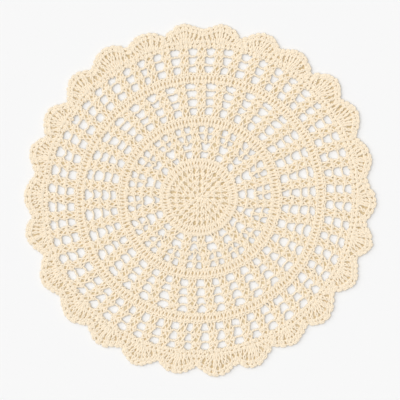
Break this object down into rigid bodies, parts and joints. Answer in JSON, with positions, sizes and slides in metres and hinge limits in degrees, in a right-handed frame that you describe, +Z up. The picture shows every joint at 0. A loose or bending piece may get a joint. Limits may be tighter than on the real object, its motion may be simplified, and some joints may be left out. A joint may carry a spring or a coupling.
{
  "type": "crochet placemat",
  "caption": "Round crochet placemat in natural cotton yarn, worked in solid and open rounds from the centre, with a scalloped shell border.",
  "frame": {"origin": "centre of the mat's bounding box, on the table that it lies on", "axes": "+Z up out of the table, the right side of the work facing up; +X and +Y lie in the table, to the right and to the top of the picture"},
  "size_m": [0.3799, 0.3805, 0.0032],
  "materials": {
    "cotton_yarn": "matt, undyed, softly twisted cotton yarn"
  },
  "bodies": {
    "root": {"mat": "cotton_yarn"}
  },
  "joints": []
}
